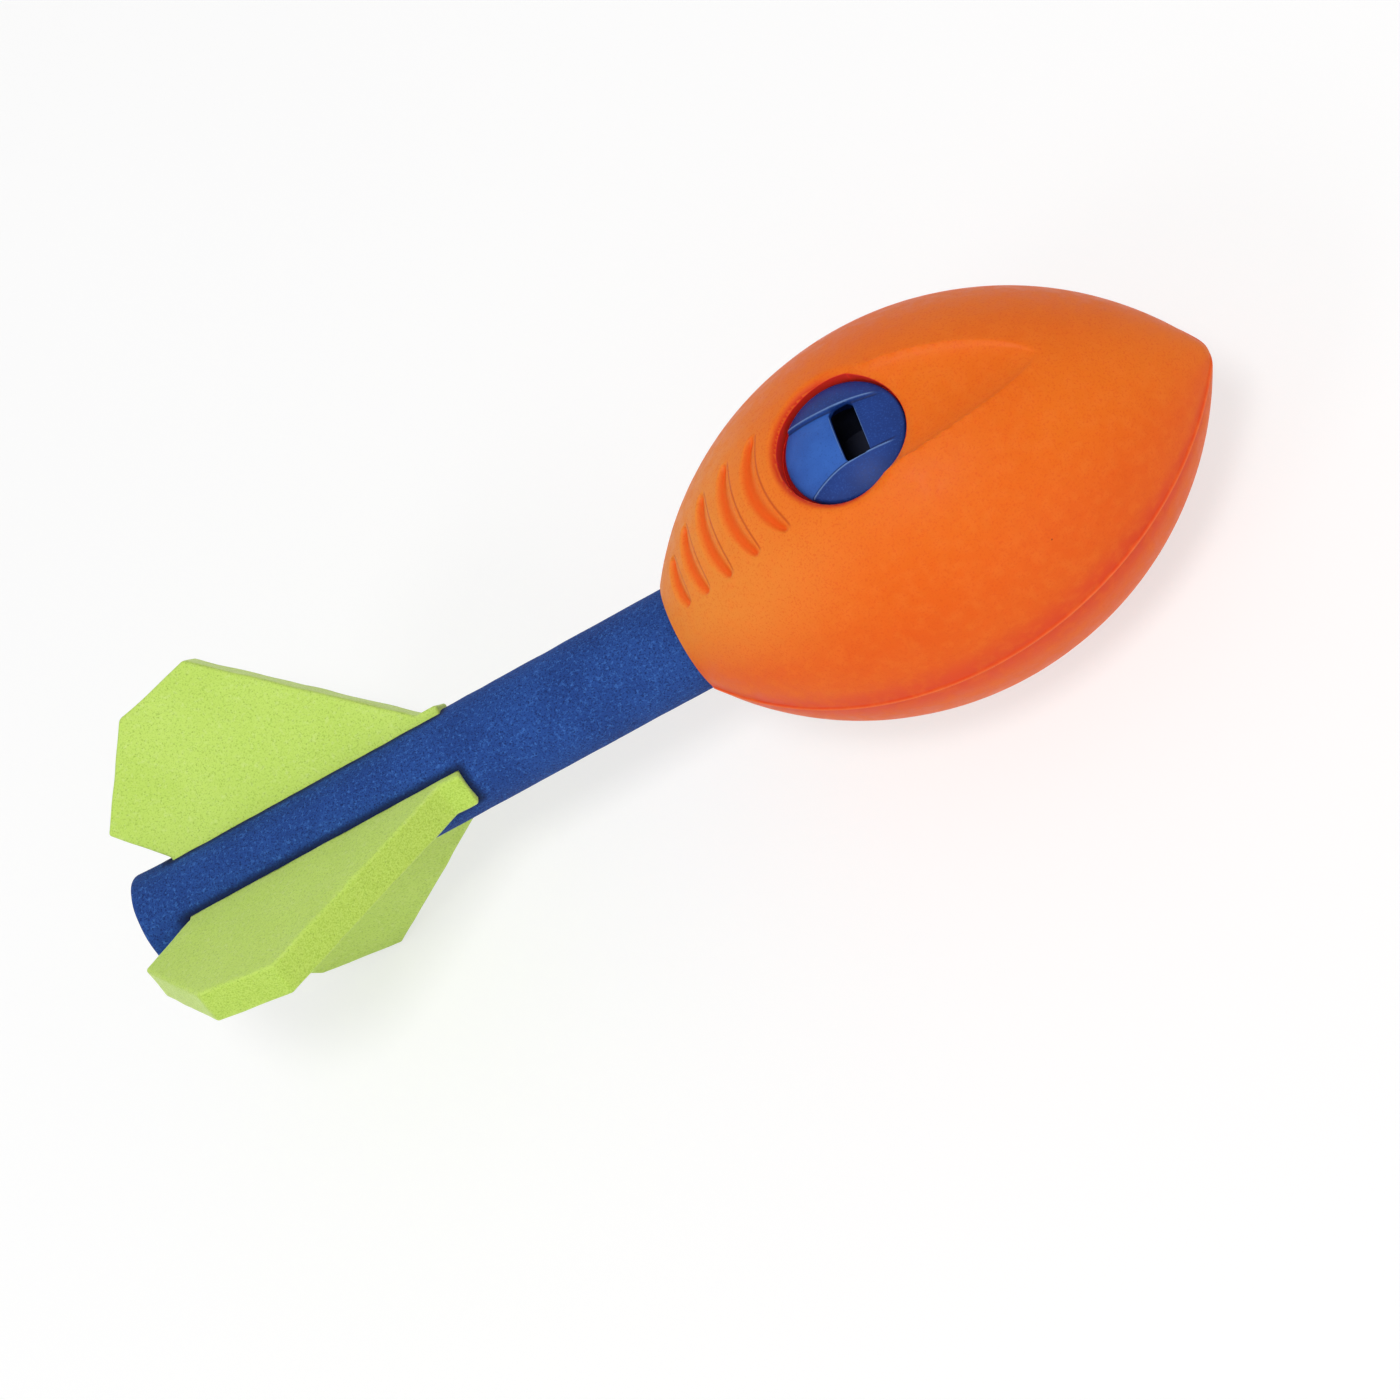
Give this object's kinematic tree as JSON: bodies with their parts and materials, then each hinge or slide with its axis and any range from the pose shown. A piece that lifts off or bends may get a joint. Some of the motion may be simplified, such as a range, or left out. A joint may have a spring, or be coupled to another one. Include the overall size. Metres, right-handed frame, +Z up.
{
  "type": "whistling throwing toy",
  "caption": "Foam throwing toy: a pointed oval ball with a whistle set in each flank, on a thin foam tail with fins at its end.",
  "frame": {"origin": "middle of the tail's flat end", "axes": "+X along the toy from the tail's end to the ball's nose, +Z up through one whistle, straight opposite the lower fin, so the ball's mould seam lies in the XY plane"},
  "size_m": [0.22, 0.0734, 0.0739],
  "materials": {
    "ball_foam": "orange self-skinned foam, smooth satin skin with a faint mottle",
    "tail_foam": "mid-blue closed-cell foam, fine open grain, matt",
    "fin_foam": "yellow-green foam sheet, fine cells, matt",
    "whistle_plastic": "blue moulded plastic, satin gloss",
    "inner_plastic": "natural white plastic, hidden inside"
  },
  "bodies": {
    "root": {"foam_ball": "ball_foam", "tail_sleeve": "tail_foam", "tail_core": "inner_plastic", "core_anchor": "inner_plastic", "whistle_cap_upper": "whistle_plastic", "whistle_cup_upper": "whistle_plastic", "whistle_cap_lower": "whistle_plastic", "whistle_cup_lower": "whistle_plastic", "fin_lower": "fin_foam", "fin_right": "fin_foam", "fin_left": "fin_foam"}
  },
  "joints": []
}
